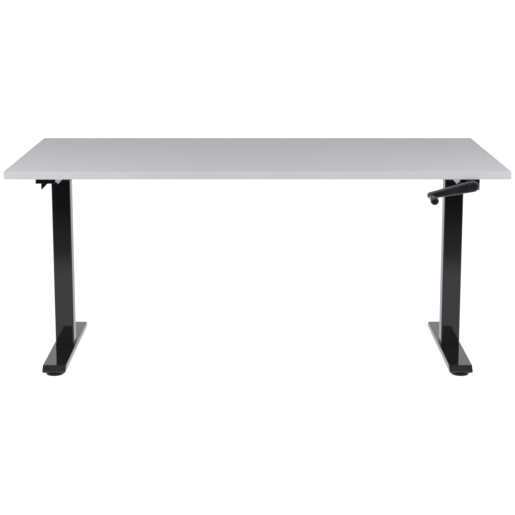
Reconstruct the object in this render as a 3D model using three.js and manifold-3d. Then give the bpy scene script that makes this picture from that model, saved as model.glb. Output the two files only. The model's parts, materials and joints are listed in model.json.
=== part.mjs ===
// A crank-driven height adjustable desk: two telescopic columns on flat feet, a cross shaft between
// their gear heads, a hand crank at the right front, and a laminate worktop.
// Millimetres, +X to the right, +Y away from the sitter, +Z up, the floor at z = 0.
import * as THREE from 'three';
import { mergeVertices } from 'three/addons/utils/BufferGeometryUtils.js';
import Module from 'manifold-3d';

const wasm = await Module();
wasm.setup();

// Driving sizes.
const topWidth = 1600;
const topDepth = 720;
const topThickness = 25;
const deskHeight = 710; // floor to worktop with the columns fully lowered
const bandThickness = 1.2;
const columnInset = 122; // side edge of the top to the column's centre line
const columnWidth = 65;
const columnDepth = 52;
const cornerRadius = 4;
const outerWall = 2;
const innerWall = 1.5;
const collarWall = 1.6;
const footLength = 530;
const footTopLength = 489;
const footWidth = 78;
const footBase = 11; // floor to the foot's underside
const footTop = 33;
const footWall = 2;
const glideRadius = 30;
const glideHeight = 9;
const glideInset = 35; // foot's end to the glide's centre
const studRadius = 4;
const boltSpread = 15; // column's centre line to each foot bolt
const boltHeadRadius = 6.5;
const boltHeadHeight = 5;
const crankDrop = 20; // underside of the top to the crank's axis
const crankReach = 136;
const crankTilt = 12.5; // degrees below level, pointing at the sitter's middle
const crankTravel = 45;
const screwLead = 8;

// Clearances.
const seat = 0.1; // left between faces that bear on each other
const slideGap = 0.2; // between a sliding collar and its tube
const turnGap = 0.4; // around a shaft that turns in a hole
const hexGap = 0.3; // around a hexagon that slides in its socket

// Heights and places that follow from them.
const underside = deskHeight - topThickness;
const crankZ = underside - crankDrop;
const columnX = topWidth / 2 - columnInset;
const columnTop = underside - 67;
const frontEdge = -topDepth / 2;
const bracketPlate = 2;
const bracketWidth = columnWidth - 2;
const bracketShift = 1; // the bracket stands this much further out than the column
const bracketHalf = topDepth / 2 - 54;
const webDepth = 35;
const webEndDepth = 15;
const webTaper = 57; // length over which the inner web deepens from each end
const lipDepth = 24;
const apronDepth = 62;
const railHeight = 30;
const railDepth = 22;
const railPlace = 60; // middle of the desk to the rail's open side
const apronHalf = bracketHalf - 97;

// Columns and lift screws.
const outerInsideWidth = columnWidth - 2 * outerWall;
const outerInsideDepth = columnDepth - 2 * outerWall;
const innerWidth = outerInsideWidth - 2 * (collarWall + 2 * slideGap);
const innerDepth = outerInsideDepth - 2 * (collarWall + 2 * slideGap);
const plugHeight = 12;
const plugTop = footTop + seat + plugHeight;
const plugClear = 16; // column plug to the inner column, at the lowest setting
const innerBottom = plugTop + plugClear;
const lowerCollar = 42;
const upperCollar = 52;
const collarGap = 14; // left between the two collars at full height
const collarRim = 3;
const slideRoom = columnTop - innerBottom - lowerCollar - upperCollar - collarGap;
const travel = Math.floor(slideRoom / screwLead) * screwLead; // whole turns of the screw
const screwRadius = 8;
const journalRadius = 6;
const screwTail = 32; // screw left below the nut at full height
const screwBottom = innerBottom - 2;
const nutTubeRadius = 12;
const nutTubeBore = 9.5;
const nutTubeTop = screwBottom + travel + screwTail;
const nutRadius = 15;
const nutHeight = 25;

// Gear heads. The three gear axes of a head meet at one point, its apex, on the crank's axis.
const housingGap = 0.5; // gear head to the tray's outer web
const housingHalf = bracketWidth / 2 - bracketPlate - bracketShift - housingGap;
const housingFront = 42;
const housingBack = 30;
const housingWall = 4;
const housingBottom = underside - 49;
const housingFloor = 8;
const housingTop = underside - bracketPlate - 4 * seat;
const bearingRadius = 13;
const bearingHeight = 5.8;
const gearTeeth = 12;
const gearOuter = 20; // distances from the apex, along the teeth
const gearInner = 8;
const inputInner = 15;
const crossOuter = 12;
const gearBack = 19;
const crossBack = 13;
const gearHub = 11;
const crossHub = 6.5;
const toothTip = 5.0; // degrees above and below the 45 degree pitch cone
const toothRoot = 6.5;
const shaftFlats = 7; // across the flats of the cross shaft's hexagon
const crankFlats = 10;
const sleeveRadius = 8;
const sleeveFloor = 9; // solid end of the crank's sleeve
const sleeveGrip = 35; // crank shaft left in its sleeve when pulled out
const sleeveEnd = gearBack + seat + sleeveFloor + crankTravel + sleeveGrip + 2;
const crossSleeveRadius = 7;
const crossOverlap = 120;
const stubRadius = 5;

// Crank.
const armThickness = 13;
const armGap = 4; // front edge of the top to the arm's back
const armHubRadius = 18;
const armEndRadius = 10.5;
const armBack = frontEdge - armGap;
const armFront = armBack - armThickness;
const capRadius = 14.5;
const capHeight = 3;
const pinRadius = 4;
const knobGap = 6; // length of pin seen between the arm and the knob
const knobLength = 80;
const knobBase = armFront - knobGap;
const knobEnd = knobBase - knobLength;
const knobRadii = [7.6, 8.2, 9.6, 11.6, 12.8, 12.4];
const crankPlate = 3;
const crankPlateDepth = 39.5;
const crankFlangeDepth = 43.5;
const crankFlange = 56;
const crankShaftRoom = 6; // half the hexagon's width across its corners, rounded up
const bushFlangeRadius = 13;
const bushRadius = 9.5;

// Finishes.
const finish = (color, roughness, metalness) =>
  new THREE.MeshStandardMaterial({ color, roughness, metalness });
const laminate = finish(0xb8b6ba, 0.55, 0);
const edging = finish(0xc9c8cc, 0.45, 0);
const blackSteel = finish(0x17171a, 0.22, 0.1);
const blackPlastic = finish(0x121214, 0.5, 0);
const zinc = finish(0xa8abb0, 0.35, 1);
const brass = finish(0xb08d4a, 0.35, 1);
const castAlloy = finish(0x8d9094, 0.45, 1);
const nylon = finish(0xd8d6cc, 0.5, 0);

// A closed solid that can be joined and cut, from any three geometry.
function solid(geometry) {
  const bare = geometry.clone();
  bare.deleteAttribute('normal');
  bare.deleteAttribute('uv');
  const welded = mergeVertices(bare, 1e-4);
  return new wasm.Manifold(new wasm.Mesh({
    numProp: 3,
    vertProperties: new Float32Array(welded.attributes.position.array),
    triVerts: new Uint32Array(welded.index.array),
  }));
}

function geometryOf(body) {
  const mesh = body.getMesh();
  const geometry = new THREE.BufferGeometry();
  geometry.setAttribute('position', new THREE.BufferAttribute(new Float32Array(mesh.vertProperties), 3));
  geometry.setIndex(new THREE.BufferAttribute(new Uint32Array(mesh.triVerts), 1));
  geometry.computeVertexNormals();
  return geometry;
}

const join = (...pieces) => geometryOf(pieces.map(solid).reduce((whole, piece) => whole.add(piece)));
const cut = (piece, ...tools) =>
  geometryOf(tools.map(solid).reduce((rest, tool) => rest.subtract(tool), solid(piece)));

// A box from its low and high corners.
function block(x0, x1, y0, y1, z0, z1) {
  const box = new THREE.BoxGeometry(x1 - x0, y1 - y0, z1 - z0);
  return box.translate((x0 + x1) / 2, (y0 + y1) / 2, (z0 + z1) / 2);
}

// A closed solid of revolution about Z from [radius, z] points, which start and end on the axis
// or go round a ring.
function turned(points, sides = 24) {
  const profile = points.map(([radius, z]) => new THREE.Vector2(radius, z));
  return new THREE.LatheGeometry(profile, sides).rotateX(Math.PI / 2);
}

const rod = (radius, z0, z1, sides = 24) => turned([[0, z0], [radius, z0], [radius, z1], [0, z1]], sides);
const ring = (inner, outer, z0, z1, sides = 24) =>
  turned([[inner, z0], [outer, z0], [outer, z1], [inner, z1], [inner, z0]], sides);

// A shape drawn in X and Y, carried from z0 to z1.
function carried(shape, z0, z1, curveSegments = 8) {
  const options = { depth: z1 - z0, bevelEnabled: false, curveSegments };
  return new THREE.ExtrudeGeometry(shape, options).translate(0, 0, z0);
}

function hexagon(flats, turn = 0) {
  const corner = flats / Math.sqrt(3);
  const points = [0, 1, 2, 3, 4, 5].map((k) => {
    const angle = (k + 0.5) * Math.PI / 3 + turn;
    return new THREE.Vector2(corner * Math.cos(angle), corner * Math.sin(angle));
  });
  return new THREE.Shape(points);
}

function roundedRectangle(width, depth, radius) {
  const x = width / 2;
  const y = depth / 2;
  const shape = new THREE.Shape();
  shape.moveTo(-x + radius, -y);
  shape.lineTo(x - radius, -y);
  shape.absarc(x - radius, -y + radius, radius, -Math.PI / 2, 0);
  shape.lineTo(x, y - radius);
  shape.absarc(x - radius, y - radius, radius, 0, Math.PI / 2);
  shape.lineTo(-x + radius, y);
  shape.absarc(-x + radius, y - radius, radius, Math.PI / 2, Math.PI);
  shape.lineTo(-x, -y + radius);
  shape.absarc(-x + radius, -y + radius, radius, Math.PI, 1.5 * Math.PI);
  return shape;
}

// A rectangular tube standing along Z.
function tube(width, depth, wall, radius, z0, z1) {
  const shape = roundedRectangle(width, depth, radius);
  shape.holes.push(roundedRectangle(width - 2 * wall, depth - 2 * wall, Math.max(radius - wall, 0.6)));
  return carried(shape, z0, z1, 3);
}

// A straight bevel gear whose apex is the origin and whose back faces +Z. Every tooth line runs to
// the apex, from outer to inner along the cone. A tooth is a third of its pitch wide at the pitch
// cone, which leaves generous backlash. phase turns it by that share of a tooth.
function bevelGear(outer, inner, back, hubRadius, phase) {
  const pitch = 2 * Math.PI / gearTeeth;
  const corners = [[-0.25, -toothRoot], [-0.11, toothTip], [0.11, toothTip], [0.25, -toothRoot]];
  const places = [];
  for (let tooth = 0; tooth < gearTeeth; tooth += 1) {
    for (const [share, lift] of corners) {
      places.push([(tooth + phase + share) * pitch, THREE.MathUtils.degToRad(45 + lift)]);
    }
  }
  const count = places.length;
  const points = [];
  for (const reach of [inner, outer]) {
    for (const [turn, cone] of places) {
      const radius = reach * Math.sin(cone);
      points.push(radius * Math.cos(turn), radius * Math.sin(turn), reach * Math.cos(cone));
    }
  }
  for (const [turn] of places) {
    points.push(hubRadius * Math.cos(turn), hubRadius * Math.sin(turn), back);
  }
  const rootCone = THREE.MathUtils.degToRad(45 - toothRoot);
  points.push(0, 0, inner * Math.cos(rootCone), 0, 0, back);
  const faces = [];
  for (let k = 0; k < count; k += 1) {
    const next = (k + 1) % count;
    faces.push(3 * count, next, k);
    for (const base of [0, count]) {
      const above = base + count;
      faces.push(base + k, base + next, above + next, base + k, above + next, above + k);
    }
    faces.push(3 * count + 1, 2 * count + k, 2 * count + next);
  }
  const geometry = new THREE.BufferGeometry();
  geometry.setAttribute('position', new THREE.Float32BufferAttribute(points, 3));
  geometry.setIndex(faces);
  geometry.computeVertexNormals();
  return geometry;
}

// Turns that carry a shape drawn along +Z onto another axis.
const towardsFront = (geometry) => geometry.rotateX(Math.PI / 2); // +Z becomes -Y
const towardsLeft = (geometry) => geometry.rotateY(-Math.PI / 2); // +Z becomes -X
const downwards = (geometry) => geometry.rotateX(Math.PI); // +Z becomes -Z

const desk = new THREE.Group();

function place(parent, name, geometry, material) {
  const mesh = new THREE.Mesh(geometry, material);
  mesh.name = name;
  parent.add(mesh);
}

// The foot: a closed steel box section whose ends slope out to the floor, with holes for two glides
// under it and two bolts through its top. It is drawn as its side view and carried across the foot.
function footGeometry() {
  const half = footLength / 2;
  const topHalf = footTopLength / 2;
  const bend = 6;
  const outline = (inset, radius) => {
    const shape = new THREE.Shape();
    const low = footBase + inset;
    const high = footTop - inset;
    const end = half - 1.4 * inset;
    shape.moveTo(-end + radius, low);
    shape.lineTo(end - radius, low);
    shape.quadraticCurveTo(end, low, end - 0.5 * radius, low + radius);
    shape.lineTo(topHalf - inset, high);
    shape.lineTo(-topHalf + inset, high);
    shape.lineTo(-end + 0.5 * radius, low + radius);
    shape.quadraticCurveTo(-end, low, -end + radius, low);
    return shape;
  };
  const across = (shape, width) =>
    carried(shape, -width / 2, width / 2, 4).rotateY(Math.PI / 2).rotateX(Math.PI / 2);
  const skin = across(outline(0, bend), footWidth);
  const hollow = across(outline(footWall, bend - footWall), footWidth - 2 * footWall);
  const holes = [];
  for (const side of [-1, 1]) {
    const studHole = rod(studRadius + turnGap, footBase - 1, footBase + 2 * footWall);
    const boltHole = rod(studRadius + turnGap, footTop - 2 * footWall, footTop + 1);
    holes.push(studHole.translate(0, side * (half - glideInset), 0));
    holes.push(boltHole.translate(0, side * boltSpread, 0));
  }
  return cut(skin, hollow, ...holes);
}

function footBolt() {
  const headTop = footTop - footWall - seat;
  const headBottom = headTop - boltHeadHeight;
  const tip = plugTop - 1;
  return turned([[0, headBottom], [boltHeadRadius, headBottom], [boltHeadRadius, headTop],
    [studRadius, headTop], [studRadius, tip], [0, tip]], 12);
}

// The block welded into the foot of a column, which takes the two bolts and carries the nut's tube.
function columnPlug() {
  const outline = roundedRectangle(outerInsideWidth - 2 * slideGap, outerInsideDepth - 2 * slideGap, 2);
  const body = carried(outline, footTop + seat, plugTop, 3);
  const hole = rod(studRadius + hexGap, footTop - 1, plugTop + 1, 12);
  return cut(body, ...[-1, 1].map((side) => hole.clone().translate(0, side * boltSpread, 0)));
}

// The plastic collar in the mouth of an outer tube, with a rim that covers the tube's edge.
function upperSlider() {
  const skirt = tube(outerInsideWidth - 2 * slideGap, outerInsideDepth - 2 * slideGap, collarWall, 2,
    columnTop - upperCollar, columnTop + 1);
  const rimWall = outerWall + slideGap + collarWall;
  const rim = tube(columnWidth, columnDepth, rimWall, cornerRadius, columnTop + seat, columnTop + collarRim);
  return join(skirt, rim);
}

// The lift screw hangs from the gear head, where its shoulder bears up on the bearing.
function leadScrew() {
  const shoulder = housingBottom;
  const journalTop = crankZ - gearBack - seat;
  return turned([[0, screwBottom], [screwRadius - 1.5, screwBottom], [screwRadius, screwBottom + 2],
    [screwRadius, shoulder], [journalRadius, shoulder], [journalRadius, journalTop], [0, journalTop]], 16);
}

// The gear head's casting, open at the top, with its floor bored for the screw and its bearing and
// its walls bored for the shafts that pass them.
function gearHousing(hasCrank) {
  const outside = block(-housingHalf, housingHalf, -housingFront, housingBack, housingBottom, housingTop);
  const room = block(-housingHalf + housingWall, housingHalf - housingWall, -housingFront + housingWall,
    housingBack - housingWall, housingBottom + housingFloor, housingTop + 1);
  const tools = [room, rod(10, housingBottom - 1, housingBottom + housingFloor + 1),
    rod(bearingRadius + slideGap, housingBottom - 1, housingBottom + bearingHeight + seat)];
  const shaftPort = rod(crossSleeveRadius + turnGap, -1, housingWall + 1, 16).rotateY(Math.PI / 2);
  tools.push(shaftPort.translate(hasCrank ? -housingHalf : housingHalf - housingWall, 0, crankZ));
  if (hasCrank) {
    const sleevePort = rod(sleeveRadius + turnGap, housingFront - housingWall - 1, housingFront + 1);
    tools.push(towardsFront(sleevePort).translate(0, 0, crankZ));
  }
  return cut(outside, ...tools);
}

// The pressed steel tray between a gear head and the top: a flat plate with a lip at each end, a
// shallow inner web that tapers to its ends, and an outer web that steps down to an apron.
function sideBracket(side) {
  const half = bracketWidth / 2;
  const z0 = underside - seat;
  const plate = block(-half, half, -bracketHalf, bracketHalf, z0 - bracketPlate, z0);
  const lip = block(-half, half, bracketHalf - bracketPlate, bracketHalf, z0 - lipDepth, z0);
  const lips = [lip, lip.clone().rotateZ(Math.PI)];
  const web = (points, x) => {
    const shape = new THREE.Shape(points.map(([y, drop]) => new THREE.Vector2(y, -drop)));
    return carried(shape, 0, bracketPlate).rotateX(Math.PI / 2).rotateZ(Math.PI / 2).translate(x, 0, z0);
  };
  const low = -half;
  const high = half - bracketPlate;
  const inner = web([[-bracketHalf, 0], [-bracketHalf, webEndDepth], [-bracketHalf + webTaper, webDepth],
    [bracketHalf - webTaper, webDepth], [bracketHalf, webEndDepth], [bracketHalf, 0]], side > 0 ? low : high);
  const outer = web([[-bracketHalf, 0], [-bracketHalf, lipDepth], [-apronHalf, lipDepth],
    [-apronHalf, apronDepth], [apronHalf, apronDepth], [apronHalf, lipDepth], [bracketHalf, lipDepth],
    [bracketHalf, 0]], side > 0 ? high : low);
  const whole = join(plate, ...lips, inner, outer);
  const shaftPort = rod(crossSleeveRadius + 2, -2 * bracketPlate, 2 * bracketPlate, 16);
  const tools = [shaftPort.rotateY(Math.PI / 2).translate(-side * half, 0, crankZ)];
  if (side > 0) {
    const bushPort = rod(bushRadius + 1, bracketHalf - 2 * bracketPlate, bracketHalf + 1);
    tools.push(towardsFront(bushPort).translate(-bracketShift, 0, crankZ));
  }
  return cut(whole, ...tools);
}

// The rails that hold the two brackets apart, folded steel channels whose open sides face each other.
function crossRail(end) {
  const reach = columnX + bracketShift - bracketWidth / 2 - seat;
  const z1 = underside - seat;
  const outside = block(-reach, reach, 0, railDepth, z1 - railHeight, z1);
  const inside = block(-reach - 1, reach + 1, -1, railDepth - bracketPlate, z1 - railHeight + bracketPlate,
    z1 - bracketPlate);
  const rail = cut(outside, inside);
  return (end > 0 ? rail : rail.rotateZ(Math.PI)).translate(0, end * railPlace, 0);
}

// The crank's plate stands in front of the right bracket and turns back along its outer web.
function crankBracket() {
  const half = bracketWidth / 2;
  const z1 = underside - seat;
  const front = -bracketHalf - seat - crankPlate;
  const plate = block(-half, half, front, front + crankPlate, z1 - crankPlateDepth, z1);
  const flangeX = half - bracketPlate - seat;
  const foot = block(flangeX - crankPlate, flangeX, front, front + crankFlange, z1 - crankFlangeDepth,
    z1 - lipDepth - 2);
  const bore = towardsFront(rod(bushRadius + slideGap, -front - crankPlate - 1, -front + 1))
    .translate(-bracketShift, 0, crankZ);
  return cut(join(plate, foot), bore);
}

// The crank's arm: a tapering link between its hub and the knob, drawn in X and Z.
function crankArm() {
  const tilt = THREE.MathUtils.degToRad(180 + crankTilt);
  const lean = Math.asin((armHubRadius - armEndRadius) / crankReach);
  const shape = new THREE.Shape();
  shape.absarc(0, 0, armHubRadius, Math.PI / 2 - lean, 1.5 * Math.PI + lean, false);
  shape.absarc(crankReach, 0, armEndRadius, -Math.PI / 2 + lean, Math.PI / 2 - lean, false);
  shape.holes.push(hexagon(crankFlats + 2 * hexGap, -tilt));
  const pinHole = new THREE.Path();
  pinHole.absarc(crankReach, 0, pinRadius + hexGap, 0, 2 * Math.PI, true);
  shape.holes.push(pinHole);
  return towardsFront(carried(shape, -armBack, -armFront, 10).rotateZ(tilt));
}

// The knob: a grip that widens to its end, bored to turn on its pin.
function knobGrip() {
  const steps = knobRadii.length - 1;
  const bore = pinRadius + 2 * slideGap;
  const start = -knobBase;
  const end = -knobEnd;
  const skin = knobRadii.map((radius, k) => [radius, start + (end - start - 3) * k / steps]);
  const boreEnd = end - 8;
  return turned([[bore, start], ...skin, [9, end], [0, end], [0, boreEnd], [bore, boreEnd],
    [bore, start]], 20);
}

// Fixed to the floor: feet, glides, outer tubes, plugs and the nuts that the screws climb.
for (const [name, side] of [['left', -1], ['right', 1]]) {
  const leg = new THREE.Group();
  leg.position.x = side * columnX;
  desk.add(leg);
  place(leg, `foot_${name}`, footGeometry(), blackSteel);
  for (const [end, along] of [['front', -1], ['back', 1]]) {
    const corner = new THREE.Group();
    corner.position.y = along * (footLength / 2 - glideInset);
    leg.add(corner);
    place(corner, `glide_pad_${name}_${end}`, turned([[0, 0], [glideRadius - 2, 0], [glideRadius, 2],
      [glideRadius, glideHeight - 2], [glideRadius - 2, glideHeight], [0, glideHeight]]), blackPlastic);
    const stud = rod(studRadius, glideHeight + seat, footTop - footWall - 2, 12);
    place(corner, `glide_stud_${name}_${end}`, stud, zinc);
    place(leg, `foot_bolt_${name}_${end}`, footBolt().translate(0, along * boltSpread, 0), zinc);
  }
  place(leg, `column_plug_${name}`, columnPlug(), castAlloy);
  const outerTube = tube(columnWidth, columnDepth, outerWall, cornerRadius, footTop + seat, columnTop);
  place(leg, `outer_tube_${name}`, outerTube, blackSteel);
  place(leg, `upper_slider_${name}`, upperSlider(), blackPlastic);
  place(leg, `nut_tube_${name}`, ring(nutTubeBore, nutTubeRadius, plugTop + seat, nutTubeTop, 16), zinc);
  const nut = ring(screwRadius + turnGap, nutRadius, nutTubeTop + seat, nutTubeTop + nutHeight, 16);
  place(leg, `drive_nut_${name}`, nut, nylon);
}

// Carried up and down: inner tubes, gear heads, brackets, rails and the top.
for (const [name, side] of [['left', -1], ['right', 1]]) {
  const head = new THREE.Group();
  head.position.x = side * columnX;
  desk.add(head);
  const innerTop = housingBottom - seat;
  const innerTube = tube(innerWidth, innerDepth, innerWall, cornerRadius - 1, innerBottom, innerTop);
  place(head, `inner_tube_${name}`, innerTube, blackSteel);
  const collar = tube(outerInsideWidth - 2 * slideGap, outerInsideDepth - 2 * slideGap, collarWall, 2,
    innerBottom, innerBottom + lowerCollar);
  place(head, `lower_slider_${name}`, collar, nylon);
  place(head, `gear_housing_${name}`, gearHousing(side > 0), castAlloy);
  place(head, `screw_bearing_${name}`, ring(journalRadius + slideGap, bearingRadius, housingBottom + seat,
    housingBottom + bearingHeight, 20), zinc);
  place(head, `lead_screw_${name}`, leadScrew(), zinc);
  const apex = new THREE.Group();
  apex.position.z = crankZ;
  head.add(apex);
  const screwBevel = bevelGear(gearOuter, gearInner, gearBack, gearHub, 0);
  const crossBevel = bevelGear(crossOuter, gearInner, crossBack, crossHub, 0.5);
  place(apex, `screw_bevel_${name}`, downwards(screwBevel), brass);
  place(apex, `cross_bevel_${name}`, towardsLeft(crossBevel), zinc);
  if (side > 0) {
    place(apex, 'input_bevel', towardsFront(bevelGear(gearOuter, inputInner, gearBack, gearHub, 0.5)), zinc);
  }
  const bracket = new THREE.Group();
  bracket.position.x = side * bracketShift;
  head.add(bracket);
  place(bracket, `side_bracket_${name}`, sideBracket(side), blackSteel);
}

// The cross shaft: a hexagon from the left head that slides into a sleeve fixed to the right head.
const sleeveStart = -crossOverlap / 2;
const stubStart = columnX - 2 * housingFront;
const rightBack = columnX - crossBack - seat;
const leftFace = -columnX - gearInner * Math.cos(THREE.MathUtils.degToRad(45 + toothTip)) + seat;
const crossShaft = new THREE.Group();
crossShaft.position.z = crankZ;
desk.add(crossShaft);
const crossRod = carried(hexagon(shaftFlats), leftFace, crossOverlap / 2);
place(crossShaft, 'cross_shaft_rod', crossRod.rotateY(Math.PI / 2), zinc);
const stub = rod(stubRadius, stubStart - 1, rightBack, 16);
const sleeveBody = join(rod(crossSleeveRadius, sleeveStart, stubStart, 16), stub);
const sleeveBore = carried(hexagon(shaftFlats + 2 * hexGap), sleeveStart - 1, stubStart - 20);
place(crossShaft, 'cross_shaft_sleeve', cut(sleeveBody, sleeveBore).rotateY(Math.PI / 2), zinc);

for (const [name, end] of [['front', -1], ['back', 1]]) {
  place(desk, `cross_rail_${name}`, crossRail(end), blackSteel);
}

// The crank line: bracket and bush, sleeve, shaft, arm, cap, pin and knob.
const crank = new THREE.Group();
crank.position.set(columnX, 0, crankZ);
desk.add(crank);
const crankMounting = new THREE.Group();
crankMounting.position.x = columnX + bracketShift;
desk.add(crankMounting);
place(crankMounting, 'crank_bracket', crankBracket(), blackSteel);
const plateFront = bracketHalf + seat + crankPlate;
const bushBore = crankShaftRoom + turnGap;
const bushInner = plateFront - 5;
const bushOuter = plateFront + 4;
const bush = turned([[bushBore, bushInner], [bushRadius, bushInner], [bushRadius, plateFront + seat],
  [bushFlangeRadius, plateFront + seat], [bushFlangeRadius, bushOuter], [bushBore, bushOuter],
  [bushBore, bushInner]]);
place(crank, 'crank_bush', towardsFront(bush), blackPlastic);
const sleeve = cut(rod(sleeveRadius, gearBack + seat, sleeveEnd),
  carried(hexagon(crankFlats + 2 * hexGap), gearBack + seat + sleeveFloor, sleeveEnd + 1));
place(crank, 'input_sleeve', towardsFront(sleeve), zinc);
const shaftInner = sleeveEnd - sleeveGrip;
place(crank, 'crank_shaft', towardsFront(carried(hexagon(crankFlats), shaftInner, -armFront - 1)), zinc);
place(crank, 'crank_arm', crankArm(), blackSteel);
const capInner = -armFront + seat;
const capOuter = -armFront + capHeight;
const cap = turned([[0, capInner], [capRadius, capInner], [capRadius, capOuter - 1],
  [capRadius - 1, capOuter], [0, capOuter]]);
place(crank, 'crank_cap', towardsFront(cap), blackPlastic);
const knob = new THREE.Group();
const tilt = THREE.MathUtils.degToRad(crankTilt);
knob.position.set(-crankReach * Math.cos(tilt), 0, -crankReach * Math.sin(tilt));
crank.add(knob);
place(knob, 'knob_pin', towardsFront(rod(pinRadius, -armBack, -knobEnd - 10, 16)), zinc);
place(knob, 'knob_grip', towardsFront(knobGrip()), blackPlastic);

// The worktop: a board with an edge band glued to each side.
const boardX = topWidth / 2 - bandThickness - seat;
const boardY = topDepth / 2 - bandThickness - seat;
place(desk, 'desktop', block(-boardX, boardX, -boardY, boardY, underside, deskHeight), laminate);
for (const [name, end] of [['front', -1], ['back', 1]]) {
  const half = bandThickness / 2;
  const band = block(-topWidth / 2, topWidth / 2, -half, half, underside, deskHeight);
  place(desk, `edge_band_${name}`, band.translate(0, end * (topDepth - bandThickness) / 2, 0), edging);
}
for (const [name, side] of [['left', -1], ['right', 1]]) {
  const half = bandThickness / 2;
  const band = block(-half, half, -boardY, boardY, underside, deskHeight);
  place(desk, `edge_band_${name}`, band.translate(side * (topWidth - bandThickness) / 2, 0, 0), edging);
}

// The origin is the middle of the whole desk's outline on the floor, which the crank's knob lengthens
// towards the sitter.
desk.position.y = -(knobEnd + topDepth / 2) / 2;

const object = new THREE.Group();
object.add(desk);

export default object;
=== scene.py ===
"""Looks for a hand-cranked, height adjustable desk: laminate top, gloss black telescopic legs."""
import json
import math

import bmesh
import bpy
import numpy as np
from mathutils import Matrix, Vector


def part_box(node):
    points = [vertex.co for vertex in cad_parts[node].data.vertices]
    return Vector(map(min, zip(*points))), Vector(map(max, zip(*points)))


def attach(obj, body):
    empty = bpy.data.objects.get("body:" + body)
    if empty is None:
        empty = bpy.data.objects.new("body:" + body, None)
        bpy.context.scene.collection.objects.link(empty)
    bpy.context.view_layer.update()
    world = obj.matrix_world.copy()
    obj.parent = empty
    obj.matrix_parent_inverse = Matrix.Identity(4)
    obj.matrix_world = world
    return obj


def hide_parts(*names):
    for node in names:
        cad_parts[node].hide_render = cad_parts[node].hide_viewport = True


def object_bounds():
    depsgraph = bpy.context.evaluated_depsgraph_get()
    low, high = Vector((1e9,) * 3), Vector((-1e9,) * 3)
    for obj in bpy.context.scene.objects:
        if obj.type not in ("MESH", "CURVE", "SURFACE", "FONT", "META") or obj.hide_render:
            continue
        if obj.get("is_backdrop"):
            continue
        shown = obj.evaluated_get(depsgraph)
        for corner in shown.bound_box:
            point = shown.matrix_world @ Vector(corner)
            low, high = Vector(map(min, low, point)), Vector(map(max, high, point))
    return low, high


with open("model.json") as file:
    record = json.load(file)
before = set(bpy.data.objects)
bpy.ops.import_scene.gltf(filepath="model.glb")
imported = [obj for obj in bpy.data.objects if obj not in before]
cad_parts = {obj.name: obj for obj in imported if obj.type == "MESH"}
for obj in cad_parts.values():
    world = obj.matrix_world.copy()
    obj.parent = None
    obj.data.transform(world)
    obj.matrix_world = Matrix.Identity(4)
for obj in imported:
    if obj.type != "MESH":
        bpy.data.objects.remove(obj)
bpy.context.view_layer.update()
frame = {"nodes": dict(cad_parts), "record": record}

# ---------------------------------------------------------------------------------------------
# Worktop. A 25 mm chipboard panel faced on both sides with pale grey melamine paper, pressed
# against a steel plate that leaves a fine matt pebble. It is cut from a big sheet, so its faces
# are flat and its long sides wait for an edge band.
# ---------------------------------------------------------------------------------------------


def shader_group(name, inputs, outputs):
    """An empty node group with named sockets; returns (group, its input node, its output node)."""
    group = bpy.data.node_groups.new(name, "ShaderNodeTree")
    for direction, sockets in (("INPUT", inputs), ("OUTPUT", outputs)):
        for socket_name, kind, start in sockets:
            socket = group.interface.new_socket(
                name=socket_name, in_out=direction, socket_type=kind
            )
            if start is not None:
                socket.default_value = start
    return group, group.nodes.new("NodeGroupInput"), group.nodes.new("NodeGroupOutput")


def make_relief_group():
    """Fine relief of a pressed, sprayed or moulded skin. Height is fractal noise at Grain cycles a
    metre; Cloud is slow noise at Patch cycles a metre that spreads tone and gloss unevenly."""
    group, given, made = shader_group(
        "skin_relief",
        [
            ("Grain", "NodeSocketFloat", 800.0),
            ("Patch", "NodeSocketFloat", 6.0),
        ],
        [("Height", "NodeSocketFloat", None), ("Cloud", "NodeSocketFloat", None)],
    )
    place = group.nodes.new("ShaderNodeTexCoord")
    grain = group.nodes.new("ShaderNodeTexNoise")
    grain.inputs["Detail"].default_value = 3.0
    grain.inputs["Roughness"].default_value = 0.55
    group.links.new(place.outputs["Object"], grain.inputs["Vector"])
    group.links.new(given.outputs["Grain"], grain.inputs["Scale"])
    group.links.new(grain.outputs["Fac"], made.inputs["Height"])
    patch = group.nodes.new("ShaderNodeTexNoise")
    patch.inputs["Detail"].default_value = 2.0
    group.links.new(place.outputs["Object"], patch.inputs["Vector"])
    group.links.new(given.outputs["Patch"], patch.inputs["Scale"])
    spread = group.nodes.new("ShaderNodeMapRange")
    spread.inputs["From Min"].default_value = 0.3
    spread.inputs["From Max"].default_value = 0.7
    group.links.new(patch.outputs["Fac"], spread.inputs["Value"])
    group.links.new(spread.outputs["Result"], made.inputs["Cloud"])
    return group


skin_relief = make_relief_group()


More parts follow.
